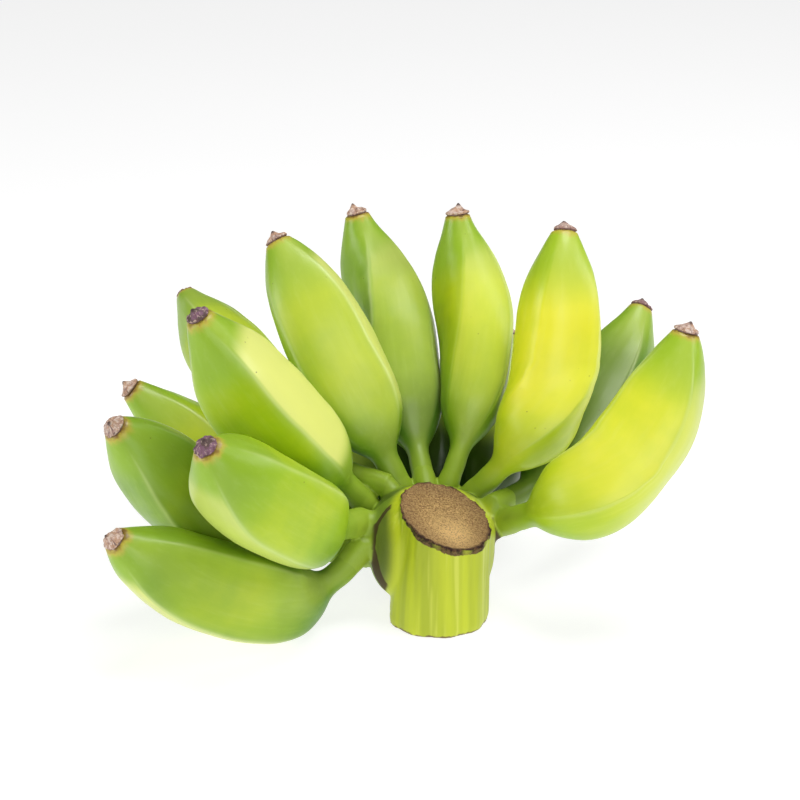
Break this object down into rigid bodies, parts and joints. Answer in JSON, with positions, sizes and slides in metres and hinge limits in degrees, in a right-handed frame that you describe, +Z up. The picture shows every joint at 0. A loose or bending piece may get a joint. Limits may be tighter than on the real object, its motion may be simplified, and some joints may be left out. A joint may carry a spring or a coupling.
{
  "type": "banana hand",
  "caption": "Hand of short, plump cooking bananas in two fanned rows round a cut length of green fruit stalk, each banana four-faced, thin at the pedicel and tipped with a dry flower scar.",
  "frame": {"origin": "centre of the stalk's lower cut face, which is on the surface the hand rests on", "axes": "+Z up along the stalk, +Y to the back, where the bananas fan out, +X to the right seen from the front, along the hand's widest way"},
  "size_m": [0.2636, 0.2276, 0.1675],
  "materials": {
    "peelYellow": "waxy skin, semi-gloss",
    "peelPale": "waxy skin, semi-gloss",
    "peelGreen": "waxy skin, semi-gloss",
    "peelDeep": "waxy skin, satin",
    "stalkSkin": "fibrous skin, satin",
    "flowerScar": "dry and corky, matte"
  },
  "bodies": {
    "root": {"stalk": "stalkSkin", "upper_1": "peelGreen", "upper_1_flower_scar": "flowerScar", "upper_2": "peelPale", "upper_2_flower_scar": "flowerScar", "upper_3": "peelPale", "upper_3_flower_scar": "flowerScar", "upper_4": "peelGreen", "upper_4_flower_scar": "flowerScar", "upper_5": "peelGreen", "upper_5_flower_scar": "flowerScar", "upper_6": "peelGreen", "upper_6_flower_scar": "flowerScar", "upper_7": "peelPale", "upper_7_flower_scar": "flowerScar", "upper_8": "peelYellow", "upper_8_flower_scar": "flowerScar", "upper_9": "peelYellow", "upper_9_flower_scar": "flowerScar", "lower_1": "peelDeep", "lower_1_flower_scar": "flowerScar", "lower_2": "peelGreen", "lower_2_flower_scar": "flowerScar", "lower_3": "peelGreen", "lower_3_flower_scar": "flowerScar", "lower_4": "peelGreen", "lower_4_flower_scar": "flowerScar", "lower_5": "peelGreen", "lower_5_flower_scar": "flowerScar", "lower_6": "peelDeep", "lower_6_flower_scar": "flowerScar"}
  },
  "joints": []
}
